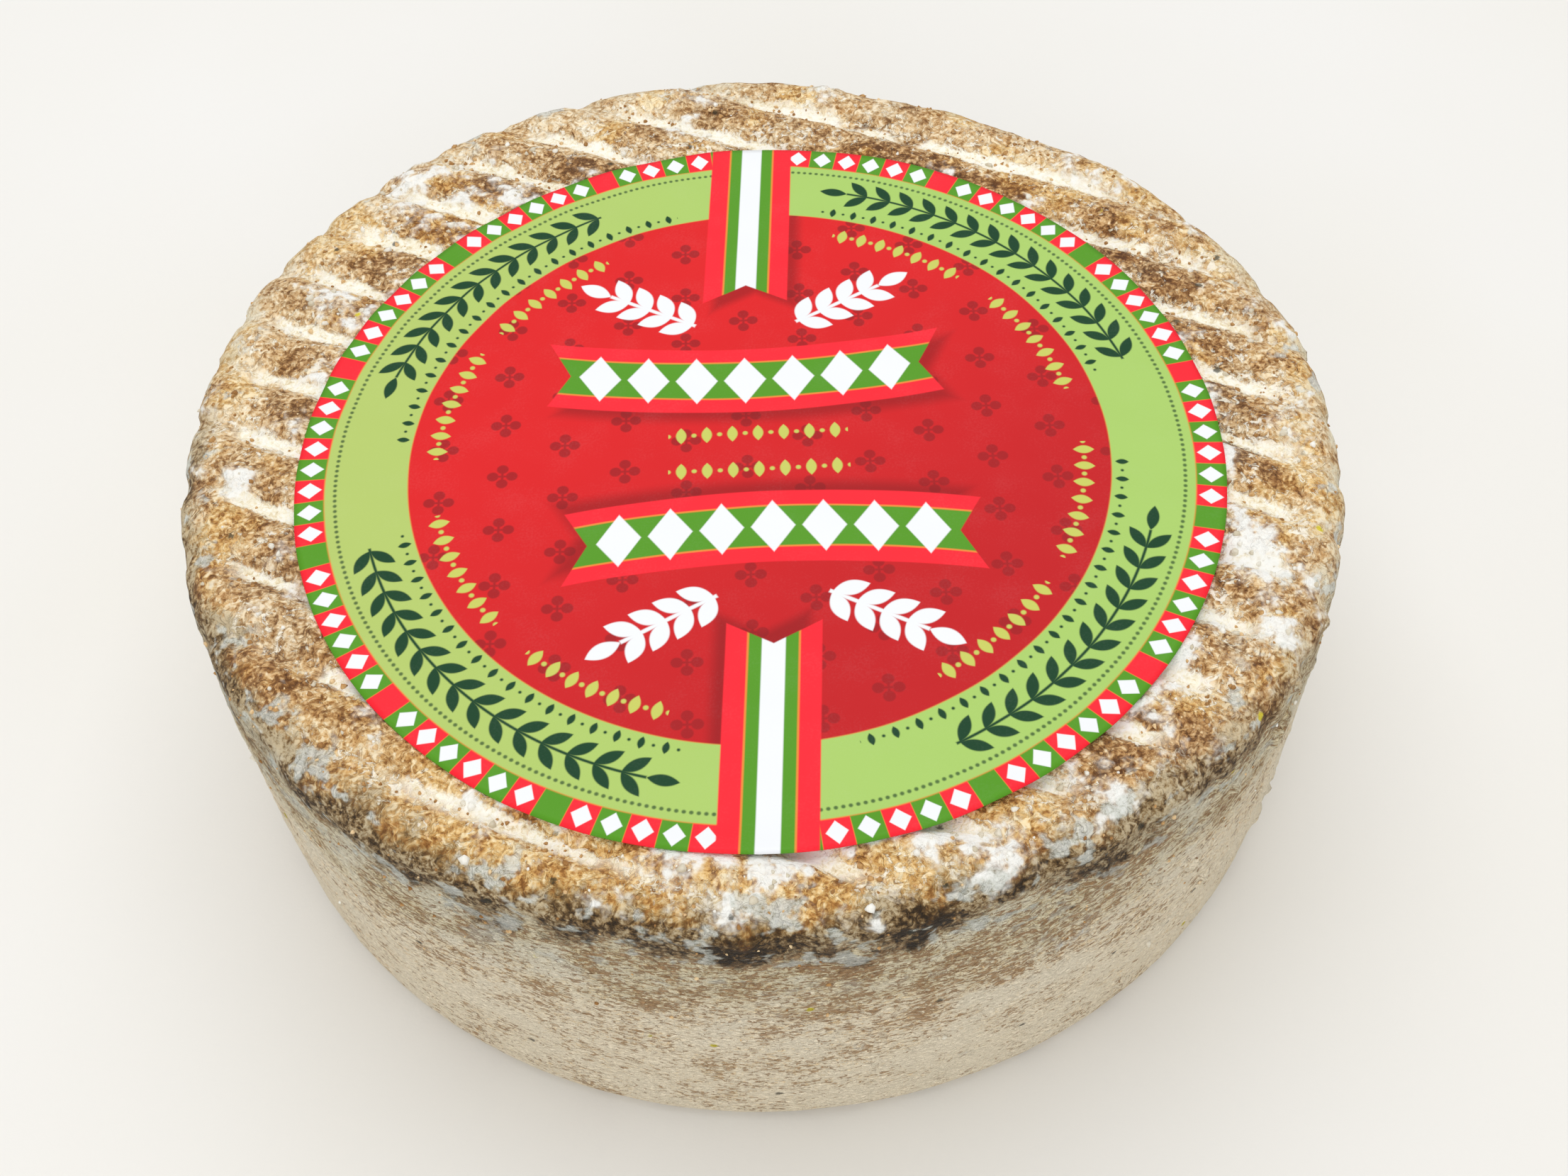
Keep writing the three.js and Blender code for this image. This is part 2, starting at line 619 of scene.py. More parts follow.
@dataclass
class CheeseWheel:
    """The wheel itself: one uncut piece, with its rind, grooves and swellings."""

    radius: float = 127.0
    height: float = 90.0
    long_way_extra: float = 2.0
    wall_lean: float = 1.5
    wall_bulge: float = 0.8
    shoulder_reach: float = 10.0
    shoulder_drop: float = 7.0
    foot_reach: float = 6.5
    foot_rise: float = 4.5
    ripple: float = 0.9
    back_drawn_in: float = 2.6
    swell: float = 2.2
    swell_size: float = 17.0
    slump: float = 3.2
    slump_size: float = 60.0
    rim_notch: float = 0.9
    shrinkage: float = 0.8
    lump: float = 1.7
    lump_size: float = 9.0
    small_lump: float = 0.8
    small_lump_size: float = 3.4
    streak_size: float = 6.0
    knob: float = 1.3
    knob_size: float = 10.0
    around: int = 600
    wall_rows: int = 60
    face_rings: int = 44
    shoulder_rings: int = 9
    foot_rings: int = 6
    covered_rings: int = 9
    covered_radius: float = 85.0
    rack: RackPrint = field(default_factory=RackPrint)
    mould: MouldGrowth = field(default_factory=MouldGrowth)

    def build(self, material: bpy.types.Material) -> bpy.types.Object:
        """Turns, presses and roughens the wheel.

        Args:
            material: The rind.

        Returns:
            The wheel as one closed mesh, with the number rim_path on its points.
        """
        sheet = ShapeSheet(
            "turned_wheel",
            {
                "Radius": self.radius,
                "Height": self.height,
                "Wall Lean": self.wall_lean,
                "Wall Bulge": self.wall_bulge,
                "Shoulder Reach": self.shoulder_reach,
                "Shoulder Drop": self.shoulder_drop,
                "Foot Reach": self.foot_reach,
                "Foot Rise": self.foot_rise,
                "Ripple": self.ripple,
                "Back Drawn In": self.back_drawn_in,
                "Groove Depth": self.rack.depth,
                "Groove Width": self.rack.width,
                "Around": self.around,
                "Wall Rows": self.wall_rows,
                "Face Rings": self.face_rings,
            },
        )
        shape = sheet.blank(sheet.size("Around"), sheet.size("Wall Rows"), sheet.size("Face Rings"), 2.0)
        place, rim = self._turned(sheet)
        shape = sheet.store(shape, RIM_PATH, rim)
        shape = sheet.move_to(shape, place)
        shape = sheet.push(shape, self._pressed(sheet))
        shape = sheet.push(shape, self._roughened(sheet))
        return sheet.make("cheese_body", shape, material)

    def _turned(self, sheet: ShapeSheet) -> tuple[Sock, Sock]:
        """Works out where each point of the blank goes on the smooth wheel.

        Args:
            sheet: The tree.

        Returns:
            The place in millimetres, and the way from the flat face's edge along the surface.
        """
        x, y, z = sheet.split(sheet.spot())
        ring = sheet.least(sheet.length(x, y), 1.0)
        rise = (z + 1) / 2
        radius, height = sheet.size("Radius"), sheet.size("Height")
        foot_radius = radius - sheet.size("Wall Lean")
        shoulder = height - sheet.size("Shoulder Drop")

        flat_top = 1 - self.shoulder_rings / self.face_rings
        share = ring / flat_top
        knee = self.covered_rings / (self.face_rings - self.shoulder_rings)
        edge = radius - sheet.size("Shoulder Reach")
        knee_share = self.covered_radius / edge
        outer = knee_share + (share - knee) * ((1 - knee_share) / (1 - knee))
        top_flat = edge * sheet.least(share * (knee_share / knee), outer)
        turn = sheet.clamp((1 - ring) / (1 - flat_top)) * QUARTER_TURN
        top_round = radius - sheet.size("Shoulder Reach") * (1 - sheet.math("COSINE", turn))
        on_round = ring > flat_top - NEAR
        top_radius = sheet.blend(on_round, top_flat, top_round)
        top_height = shoulder + sheet.size("Shoulder Drop") * sheet.math("SINE", turn)

        flat_base = 1 - self.foot_rings / self.face_rings
        base_turn = sheet.clamp((1 - ring) / (1 - flat_base)) * QUARTER_TURN
        base_flat = (foot_radius - sheet.size("Foot Reach")) * (ring / flat_base)
        base_round = foot_radius - sheet.size("Foot Reach") * (1 - sheet.math("COSINE", base_turn))
        base_radius = sheet.blend(ring > flat_base - NEAR, base_flat, base_round)
        base_height = sheet.size("Foot Rise") * (1 - sheet.math("SINE", base_turn))

        bulge = sheet.size("Wall Bulge") * 4 * rise * (1 - rise)
        wall_radius = foot_radius + sheet.size("Wall Lean") * rise + bulge
        wall_height = sheet.blend(rise, sheet.size("Foot Rise"), shoulder)

        on_face = ring < 1 - NEAR
        face_radius = sheet.blend(z > 0, base_radius, top_radius)
        face_height = sheet.blend(z > 0, base_height, top_height)
        out = sheet.blend(on_face, wall_radius, face_radius)
        up = sheet.blend(on_face, wall_height, face_height)

        arc = (self.shoulder_reach + self.shoulder_drop) / 2 * QUARTER_TURN
        rim = sheet.least(out - edge, 0.0)
        rim = rim + (1 - turn / QUARTER_TURN) * on_round * arc * (z > 0)
        rim = sheet.blend(on_face * (z > 0), arc + shoulder - wall_height, rim)
        rim = sheet.blend(on_face * (z < 0), rim, arc + shoulder + foot_radius - base_radius)

        angle = sheet.math("ARCTAN2", y, x)
        from_long_way = (angle - self.rack.direction) * 2
        stretch = 1 + sheet.math("COSINE", from_long_way) * (self.long_way_extra / self.radius)
        waves = sheet.math("COSINE", angle * 3) * sheet.size("Ripple")
        behind = sheet.most(sheet.math("SINE", angle), 0.0) ** 2 * sheet.size("Back Drawn In")
        out = out * (stretch + (waves - behind) / self.radius) / sheet.most(ring, TINY)
        return sheet.join(x * out, y * out, up), rim

    def _pressed(self, sheet: ShapeSheet) -> Sock:
        """Works out how the rack bars and the cheese's own swelling move each point.

        Args:
            sheet: The tree.

        Returns:
            The offset in millimetres.
        """
        place = sheet.place()
        x, y, z = sheet.split(place)
        radius = sheet.length(x, y)
        distance = self.rack.distance(sheet, place)
        half = sheet.size("Groove Width") / 2
        groove = sheet.step(distance, half * 1.15, half * 0.25)
        fade = sheet.step(radius, 130, 115)
        uneven = 0.6 + sheet.noise(place, 20, 1) * 0.8
        depth = groove * sheet.size("Groove Depth") * fade * uneven
        open_ring = sheet.step(radius, 98, 112)
        pillow = sheet.step(distance, half * 0.6, self.rack.spacing / 2) * (0.2 + open_ring * 0.5)
        swell = (sheet.noise(place, self.swell_size, 1) - 0.5) * self.swell * open_ring
        crown = (pillow + swell - open_ring * 0.3) * fade
        top_only = z > self.rack.middle_height
        side = top_only * 2 - 1
        on_face = sheet.step(z, 80, 88) + sheet.step(z, 6, 1.5)
        up = (crown * top_only - depth * side * on_face) * sheet.step(radius, 0, 4)
        outside = sheet.step(radius, 100, 124)
        slump = (sheet.noise(place, self.slump_size, 1) - 0.5) * sheet.step(z, 4, 20) * outside
        notch = groove * uneven * sheet.step(radius, 112, 122) * sheet.step(z, 66, 84)
        inward = notch * self.rim_notch + outside * self.shrinkage
        out = (slump * self.slump - inward) / sheet.most(radius, 1.0)
        return sheet.join(x * out, y * out, up)

    def _roughened(self, sheet: ShapeSheet) -> Sock:
        """Works out how far each point of the rind stands proud.

        Args:
            sheet: The tree.

        Returns:
            The offset in millimetres, along the surface's own direction.
        """
        place = sheet.place()
        x, y, z = sheet.split(place)
        rim = sheet.carried(RIM_PATH)
        flat_place = sheet.join(x, y, z * 3)
        lumps = (sheet.noise(place, self.lump_size, 2) - 0.5) * self.lump
        lumps = lumps + (sheet.noise(place, self.small_lump_size, 1) - 0.5) * self.small_lump
        streaks = sheet.noise(flat_place, self.streak_size, 2) - 0.5
        on_wall = sheet.step(rim, 4, 15)
        height = sheet.blend(on_wall, lumps, lumps * 0.45 + streaks)
        mould = self.mould.amount(sheet, place, rim)
        height = height + mould * (0.35 + sheet.noise(place, 2.6, 1) * 1.1) * 0.8
        knobs = sheet.step(sheet.noise(place, self.knob_size, 1), 0.66, 0.74)
        right_front = sheet.step(x * 0.8 - y * 0.6, 60, 115)
        height = height + knobs * right_front * on_wall * self.knob
        from_label = sheet.from_label(x, y)
        under = sheet.step(from_label, -0.5, 3.5)
        clear = sheet.most(under, on_wall) * sheet.step(z, 1.5, 7)
        return sheet.scale(sheet.normal(), height * clear)


@dataclass(frozen=True)
class RindSurvey:
    """The noises and zones that every part of the rind's finish reads."""

    place: Sock
    x: Sock
    y: Sock
    z: Sock
    rim: Sock
    distance: Sock
    grain: Sock
    pebble: Sock
    mottle: Sock
    vein: Sock
    cloud: Sock
    broad: Sock
    tint: Sock
    stripe: Sock
    wrinkle: Sock
    blotch: Sock
    down: Sock
    fore: Sock
    ragged: Sock


@dataclass(frozen=True)
class RindFinish:
    """The rind: granular brown lands, chalky grooves, a dark rim and a streaked cream wall.

    Sizes are in millimetres. Each set of shades goes from dark to light.
    """

    rack: RackPrint = field(default_factory=RackPrint)
    mould: MouldGrowth = field(default_factory=MouldGrowth)
    grain_size: float = 1.2
    stripe_size: float = 1.15
    dash_size: float = 1.9
    dust_size: float = 2.2
    vein_size: float = 2.4
    mottle_size: float = 4.2
    wrinkle_size: float = 4.2
    spot_spacing: float = 6.5
    patch_size: float = 9.0
    cloud_size: float = 12.0
    tint_size: float = 19.0
    blotch_size: float = 22.0
    chalk_size: float = 22.0
    broad_size: float = 38.0
    brown: Shades = shades((92, 56, 26), (148, 102, 56), (194, 149, 96), (222, 184, 132), (243, 222, 184))
    gold: Shades = shades((128, 80, 32), (186, 132, 68), (222, 176, 106), (238, 202, 140), (247, 226, 182))
    pale: Shades = shades((104, 68, 34), (166, 122, 74), (212, 174, 124), (234, 205, 160), (247, 231, 200))
    mauve: Shades = shades((82, 54, 32), (136, 99, 63), (179, 143, 101), (211, 182, 140), (237, 218, 187))
    dark: Shades = shades((46, 34, 18), (86, 64, 36), (126, 100, 64), (160, 136, 98), (196, 178, 144))
    dash: Shades = shades((78, 48, 22), (126, 86, 48), (163, 122, 78), (194, 156, 112), (216, 188, 146))
    wall_high: Shades = shades(
        (88, 58, 30), (148, 112, 68), (198, 170, 124), (221, 203, 161), (235, 222, 188)
    )
    wall_low: Shades = shades(
        (150, 112, 66), (214, 177, 127), (247, 218, 172), (253, 231, 192), (255, 240, 211)
    )
    chalk: Shades = shades(
        (206, 184, 142), (231, 216, 182), (243, 233, 206), (249, 243, 222), (252, 248, 236)
    )
    fluff: Shades = shades(
        (186, 178, 160), (206, 200, 187), (221, 217, 207), (232, 230, 222), (242, 241, 235)
    )
    bluish: Shades = shades(
        (104, 98, 78), (152, 150, 134), (186, 188, 175), (206, 208, 198), (220, 222, 214)
    )
    spot_black: Colour = paint(46, 44, 30)
    spot_yellow: Colour = paint(218, 200, 58)
    stop_places: tuple[float, ...] = (0.0, 0.25, 0.5, 0.75, 1.0)

    def _shade(self, sheet: FinishSheet, value: Sock, colours: Shades) -> Sock:
        """Turns a value from 0 to 1 into one of a set of shades."""
        return sheet.ramp(value, list(zip(self.stop_places, colours)))

    def _survey(self, sheet: FinishSheet) -> RindSurvey:
        """Works out the noises and zones that the rind's parts share.

        Args:
            sheet: The material's tree.

        Returns:
            All of them.
        """
        place = sheet.place()
        x, y, z = sheet.split(place)
        rim = sheet.attribute(RIM_PATH)
        grain = sheet.noise(place, self.grain_size, 3, 0.62, 0.7)
        pebble, _ = sheet.cells(place, self.grain_size)
        cloud = sheet.noise(place, self.cloud_size, 3, 0.6)
        broad = sheet.noise(place, self.broad_size, 1, 0.5)
        return RindSurvey(
            place=place,
            x=x,
            y=y,
            z=z,
            rim=rim,
            distance=self.rack.distance(sheet, place),
            grain=grain,
            pebble=pebble,
            mottle=sheet.noise(place, self.mottle_size, 4, 0.62, 1.4),
            vein=abs(sheet.noise(place, self.vein_size, 3, 0.62, 0.9) - 0.5) * 2,
            cloud=cloud,
            broad=broad,
            tint=sheet.noise(place, self.tint_size, 2, 0.6),
            stripe=sheet.noise(sheet.join(x, y, z * 1.7), self.stripe_size, 3, 0.7, 0.8),
            wrinkle=sheet.noise(sheet.join(x, y, z * 3.0), self.wrinkle_size, 3, 0.6, 0.4),
            blotch=sheet.noise(sheet.join(x, y, z * 1.6), self.blotch_size, 3, 0.6),
            down=sheet.step(rim, 10, 74),
            fore=sheet.step(-y - x * 0.35 + (broad - 0.5) * 60, -10, 85),
            ragged=(cloud - 0.5) * 26 + (grain - 0.5) * 8,
        )

    def _flecks(self, sheet: FinishSheet, at: RindSurvey) -> Sock:
        """Works out the light and dark granules of the flat face.

        Args:
            sheet: The material's tree.
            at: What the rind's parts share.

        Returns:
            0 for the darkest granules to 1 for the lightest.
        """
        raw = at.grain * 0.56 + at.mottle * 0.56 + (0.5 - at.pebble) * 0.24 + (at.cloud - 0.5) * 0.7
        raw = raw + (at.vein - 0.17) * 0.5
        between_bars = sheet.step(at.distance, 3.0, 7.5) * (1 - at.fore)
        outer_edge = sheet.step(at.rim, -12, -2) * (1 - at.fore * 0.8)
        return sheet.step(raw - between_bars * 0.05 + outer_edge * 0.11, 0.25, 0.80)

    def _land(self, sheet: FinishSheet, at: RindSurvey, fleck: Sock) -> Sock:
        """Colours the lands between the grooves: golden in front and pale at the left.

        Args:
            sheet: The material's tree.
            at: What the rind's parts share.
            fleck: How light the granules are.

        Returns:
            The colour.
        """
        front = sheet.step(-at.y + (at.broad - 0.5) * 80, 44, 104) * sheet.step(at.x, 75, 15)
        left = sheet.step(at.y * 0.8 - at.x * 0.8 + (at.broad - 0.5) * 100, 5, 100)
        golden = sheet.most(front * 0.9, sheet.step(at.tint, 0.49, 0.39) * 0.85)
        dull = sheet.step(at.tint, 0.53, 0.64) * 0.7
        land = self._shade(sheet, fleck, self.brown)
        for share, colours in ((dull, self.mauve), (left * 0.75, self.pale), (golden, self.gold)):
            land = sheet.mix(share, land, self._shade(sheet, fleck, colours))
        return land

    def _dashes(self, sheet: FinishSheet, at: RindSurvey) -> Sock:
        """Works out the short brown dashes that lie along the wall.

        Args:
            sheet: The material's tree.
            at: What the rind's parts share.

        Returns:
            1 on a dash, else 0.
        """
        raw = sheet.noise(sheet.join(at.x, at.y, at.z * 2.2), self.dash_size, 4, 0.7, 0.7)
        raw = raw - (at.blotch - 0.5) * 0.3 - (at.cloud - 0.5) * 0.3
        clean_side = sheet.step(abs(at.x) + (at.broad - 0.5) * 40, 55, 115)
        return sheet.step(raw - at.down * 0.08 - clean_side * 0.045, 0.487, 0.537)

    def _wall(self, sheet: FinishSheet, at: RindSurvey, dash: Sock) -> Sock:
        """Colours the wall, which pales towards its foot.

        Args:
            sheet: The material's tree.
            at: What the rind's parts share.
            dash: Where the brown dashes are.

        Returns:
            The colour.
        """
        tone = at.stripe * 0.85 + at.wrinkle * 0.3 + (at.cloud - 0.5) * 0.3 + (at.blotch - 0.5) * 0.25
        tone = sheet.step(tone + at.down * 0.09, 0.33, 0.63)
        high = self._shade(sheet, tone, self.wall_high)
        low = self._shade(sheet, tone, self.wall_low)
        wall = sheet.mix(sheet.step(at.down + (at.blotch - 0.5) * 0.9, 0.05, 0.6), high, low)
        blue_cast = sheet.step(at.blotch + (at.cloud - 0.5) * 0.5, 0.47, 0.62) * (1 - at.down * 0.8)
        wall = sheet.mix(blue_cast * 0.3, wall, self._shade(sheet, tone, self.bluish))
        return sheet.mix(dash * 0.85, wall, self._shade(sheet, at.grain * 0.9 + at.down * 0.18, self.dash))

    def _edge(self, sheet: FinishSheet, at: RindSurvey, fleck: Sock, land: Sock, wall: Sock) -> Sock:
        """Joins the lands to the wall through the dark band under the rim.

        Args:
            sheet: The material's tree.
            at: What the rind's parts share.
            fleck: How light the granules are.
            land: The colour of the lands.
            wall: The colour of the wall.

        Returns:
            The colour all over the wheel.
        """
        # A darker band round the shoulder, strongest towards the front.
        over_edge = sheet.step(at.rim + at.ragged, 2, 9) * (0.25 + at.fore * 0.75)
        past_band = sheet.step(at.rim + at.ragged * 1.1 + (1 - at.fore) * 7, 13, 21)
        dark_band_tone = sheet.step(fleck * 0.6 + at.stripe * 0.5 + (at.blotch - 0.5), 0.24, 0.90)
        dark_band = self._shade(sheet, dark_band_tone, self.dark)
        return sheet.mix(past_band, sheet.mix(over_edge, land, dark_band), wall)

    def _dust(self, sheet: FinishSheet, at: RindSurvey) -> Sock:
        """Works out where chalky dust lies on the lands.

        Args:
            sheet: The material's tree.
            at: What the rind's parts share.

        Returns:
            0 for none to 1 for all chalk.
        """
        beside = sheet.step(at.distance + (at.cloud - 0.5) * 9, 4.2, 0.8)
        right_side = sheet.step(at.x * 0.8 - at.y * 0.5, 20, 100)
        raw = sheet.noise(at.place, self.dust_size, 4, 0.72, 0.7) + (at.cloud - 0.5) * 0.45
        raw = raw + beside * 0.08 - at.fore * 0.03 + right_side * 0.03
        return sheet.step(raw, 0.585, 0.645) * sheet.step(at.rim, 8, 0)

    def _groove_chalk(self, sheet: FinishSheet, at: RindSurvey) -> Sock:
        """Works out where chalk fills the grooves.

        Args:
            sheet: The material's tree.
            at: What the rind's parts share.

        Returns:
            0 for none to 1 for all chalk.
        """
        fuzzy = at.distance + (at.grain - 0.5) * 2.4 + (at.mottle - 0.5) * 4.5 + (at.tint - 0.5) * 4
        core = sheet.step(fuzzy, 2.3, 1.4) * sheet.step(at.rim + at.ragged * 0.5, 2, -5)
        return core * sheet.step(sheet.noise(at.place, self.chalk_size, 2), 0.36, 0.44)

    def _veiled(self, sheet: FinishSheet, at: RindSurvey, colour: Sock, mould: Sock) -> Sock:
        """Lays fluffy mould over the colour so far.

        Args:
            sheet: The material's tree.
            at: What the rind's parts share.
            colour: The colour so far.
            mould: How thick the mould is.

        Returns:
            The colour with mould on it.
        """
        veil = sheet.clamp(mould * (0.35 + at.grain * 0.6) + sheet.step(mould, 0.6, 1.0) * 0.3)
        tone = sheet.step(mould + (at.grain - 0.5) * 0.9, -0.2, 1.0)
        return sheet.mix(veil, colour, self._shade(sheet, tone, self.fluff))

    def _blue_patches(self, sheet: FinishSheet, at: RindSurvey) -> tuple[Sock, Sock]:
        """Works out the grey-blue patches about the rim.

        Args:
            sheet: The material's tree.
            at: What the rind's parts share.

        Returns:
            Where they are, from 0 to 1, and their colour.
        """
        patch = sheet.noise(sheet.join(at.x, at.y, at.z * 1.6), self.patch_size, 3, 0.6)
        rim_zone = sheet.step(at.rim, -5, 4) * sheet.step(at.rim, 40, 14)
        amount = sheet.step(patch - (1 - at.fore) * 0.05, 0.545, 0.62) * rim_zone
        tone = sheet.step(at.stripe + (patch - 0.5), 0.3, 0.75)
        return amount, self._shade(sheet, tone, self.bluish)

    def _spotted(self, sheet: FinishSheet, at: RindSurvey, colour: Sock) -> Sock:
        """Lays a few black and yellow spots over the colour so far.

        Args:
            sheet: The material's tree.
            at: What the rind's parts share.
            colour: The colour so far.

        Returns:
            The colour with spots on it.
        """
        spot, draw = sheet.cells(at.place, self.spot_spacing)
        spot = spot - (at.grain - 0.5) * 0.3
        black = sheet.cover(spot - 0.12, 0.04) * (draw > 0.86)
        colour = sheet.mix(black * 0.8, colour, self.spot_black)
        yellow = sheet.cover(spot - 0.13, 0.04) * (draw < 0.03)
        return sheet.mix(yellow, colour, self.spot_yellow)

    def material(self) -> bpy.types.Material:
        """Builds the rind.

        Returns:
            The material, which reads rim_path from the mesh.
        """
        sheet = FinishSheet("rind")
        at = self._survey(sheet)
        fleck = self._flecks(sheet, at)
        dash = self._dashes(sheet, at)
        colour = self._edge(sheet, at, fleck, self._land(sheet, at, fleck), self._wall(sheet, at, dash))

        dust, in_groove = self._dust(sheet, at), self._groove_chalk(sheet, at)
        chalk = self._shade(sheet, sheet.step(at.grain + (at.cloud - 0.5) * 0.4, 0.2, 0.62), self.chalk)
        colour = sheet.mix(in_groove, sheet.mix(dust * 0.75, colour, chalk), chalk)

        mould = self.mould.amount(sheet, at.place, at.rim)
        colour = self._veiled(sheet, at, colour, mould)
        blue, blue_shade = self._blue_patches(sheet, at)
        colour = self._spotted(sheet, at, sheet.mix(blue * 0.8, colour, blue_shade))

        chalky = sheet.most(in_groove, dust * 0.7)
        cracks = sheet.least(at.vein, 0.2) * 0.8 + fleck * 0.28 + (0.6 - at.pebble) * 0.2
        granules = cracks * (1 - chalky * 0.7) + chalky * 0.4
        streaks = at.stripe * 1.6 + at.wrinkle * 1.1 - dash * 0.15
        on_wall = sheet.step(at.rim, 6, 16)
        height = sheet.blend(on_wall, granules * (1 - mould * 0.6), streaks) + mould * 0.12
        return sheet.finish(
            {
                "Base Color": colour,
                "Roughness": sheet.blend(blue, 0.80 + at.grain * 0.18, 0.7),
                "Specular IOR Level": 0.25,
                "Sheen Weight": 0.06,
                "Normal": sheet.relief(height),
            }
        )


class LabelInk(Enum):
    """The printing inks, the paper that shows between them, and a darker red that is painted shade on the red
    field.
    """

    RED = paint(220, 24, 28)
    ROSETTE = paint(160, 18, 24)
    SHADOW = paint(128, 8, 14)
    BRIGHT_RED = paint(250, 34, 50)
    BAND = paint(168, 203, 105)
    BAND_WARM = paint(178, 199, 106)
    GREEN = paint(84, 150, 30)
    # painted shade: the darker red laid over the red field towards its front right
    PAINTED_SHADE_RED = paint(192, 20, 26)
    DARK_GREEN = paint(10, 62, 32)
    LEAF_YELLOW = paint(198, 202, 96)
    KEYLINE = paint(232, 140, 56)
    PAPER = paint(238, 240, 242)


@dataclass(frozen=True)
class LabelPrint:
    """The label's print, in units of the label's radius. Its two halves turn into each other."""

    block_turn: float = 3.6
    blocks_to_gap: float = 7.0
    ring_inner: float = 0.935
    band_inner: float = 0.757
    garland_radius: float = 0.852
    small_radius: float = 0.78
    fine_radius: float = 0.913
    word_radius: float = 0.70
    word_turns: tuple[tuple[float, float], ...] = ((12, 39), (47, 74), (119, 146), (152, 179))
    row_half: float = 0.196
    mark_tall: float = 0.0225
    garland_leaf: tuple[float, float] = (0.066, 0.026)
    sprig_leaf: tuple[float, float] = (0.080, 0.038)
    soft: float = 0.0022

    def _leaves(
        self,
        sheet: NodeSheet,
        along: Sock,
        across: Sock,
        pairs: Number,
        period: float,
        length: float,
        width: float,
    ) -> Sock:
        """Pairs of pointed leaves that slant off a stem, and one leaf at its tip.

        Args:
            sheet: The tree.
            along: The way along the stem.
            across: The way across it.
            pairs: How many pairs there are.
            period: How far apart the pairs are.
            length: A leaf's length.
            width: A leaf's width.

        Returns:
            1 on a leaf or the stem, else 0.
        """
        slant = math.radians(42)
        side = abs(across)
        end = pairs * period
        stem = sheet.most(-along, along - end)
        shape = sheet.most(side - width * 0.12, stem)
        for back in (0.0, period):
            start = along % period - period * 0.12 + back
            outside = sheet.most(back - along, along - end - back)
            reach = start * math.cos(slant) + side * math.sin(slant)
            off = abs(side * math.cos(slant) - start * math.sin(slant))
            bow = reach * (2 / length) - 1
            leaf = off - (1 - bow * bow) * (width / 2)
            shape = sheet.least(shape, sheet.most(leaf, outside * 100))
        bow = (along - end) * (2 / length) - 1
        tip = side - (1 - bow * bow) * (width / 2)
        return sheet.cover(sheet.least(shape, tip), self.soft)

    def _marks(self, sheet: NodeSheet, along: Sock, across: Sock, period: float, tall: float) -> Sock:
        """A row of upright pointed marks and dots in turn.

        Args:
            sheet: The tree.
            along: The way along the row.
            across: The way across it.
            period: How far apart the marks are.
            tall: Half the height of a mark.

        Returns:
            1 on a mark, else 0.
        """
        near = abs(along % period - period / 2)
        bow = across / tall
        mark = near - (1 - bow * bow) * tall * 0.5
        far = along % period - period * 0.5
        dot_side = abs(abs(far) - period / 2)
        dot = sheet.length(dot_side, across) - tall * 0.24
        return sheet.cover(sheet.least(mark, dot), self.soft)

    @staticmethod
    def _between(sheet: NodeSheet, value: Sock, low: float, high: float) -> Sock:
        """1 between two bounds, else 0."""
        return (value > low) * (value < high)

    def _rosettes(self, sheet: NodeSheet, x: Sock, y: Sock) -> Sock:
        """Small four-petal flowers set out in staggered rows.

        Args:
            sheet: The tree.
            x: The way to the right.
            y: The way to the back.

        Returns:
            1 on a flower, else 0.
        """
        wide, tall, petal, petal_at = 0.264, 0.148, 0.0125, 0.0205
        least: Sock | None = None
        for shift_x, shift_y in ((0.239, 0.104), (0.371, 0.038)):
            u = abs((x - shift_x + wide / 2) % wide - wide / 2)
            v = abs((y - shift_y + tall / 2) % tall - tall / 2)
            long, short = sheet.most(u, v), sheet.least(u, v)
            from_petal = long - petal_at
            head = sheet.length(from_petal, short) - petal
            stalk = sheet.most(short - 0.0028, long - petal_at)
            flower = sheet.least(head, stalk)
            least = flower if least is None else sheet.least(least, flower)
        return sheet.cover(least, self.soft)

    def _ribbon(self, sheet: NodeSheet, x: Sock, y: Sock, soft: float) -> tuple[Sock, Sock, Sock]:
        """A swallow-tailed ribbon that curves up a little at both ends.

        Args:
            sheet: The tree.
            x: The way to the right.
            y: The way to the back.
            soft: How soft its outline is.

        Returns:
            1 inside the ribbon, the way along it, and the way across it from -1 to 1.
        """
        half_height, half_length, notch = 0.096, 0.44, 0.05
        along = x + 0.025
        across = (y - 0.212 - along * along * 0.22) / half_height
        side = abs(across)
        ends = abs(along) - half_length + (1 - side) * notch
        outline = sheet.most((side - 1) * half_height, ends)
        return sheet.cover(outline, soft), along, across

    def _pennant(self, sheet: NodeSheet, x: Sock, y: Sock, soft: float) -> tuple[Sock, Sock]:
        """A striped strip that hangs from the label's edge and ends in a notch.

        Args:
            sheet: The tree.
            x: The way to the right.
            y: The way to the back.
            soft: How soft its outline is.

        Returns:
            1 inside the strip, and the way across it without its sign.
        """
        half_width, inner_end, notch = 0.097, 0.462, 0.055
        side = abs(x + 0.02 - (y - inner_end) * 0.055)
        end = inner_end + notch - side * (notch / half_width) - y
        return sheet.cover(sheet.most(side - half_width, end), soft), side

    def _sprigs(self, sheet: NodeSheet, x: Sock, y: Sock) -> Sock:
        """Two leafy sprigs that spread to the left and right above the ribbon.

        Args:
            sheet: The tree.
            x: The way to the right.
            y: The way to the back.

        Returns:
            1 on a sprig, else 0.
        """
        lean = math.radians(29)
        right, up = abs(x + 0.02) - 0.115, y - 0.39
        along = right * math.cos(lean) + up * math.sin(lean)
        across = up * math.cos(lean) - right * math.sin(lean)
        return self._leaves(sheet, along, across, 4.0, 0.056, *self.sprig_leaf)

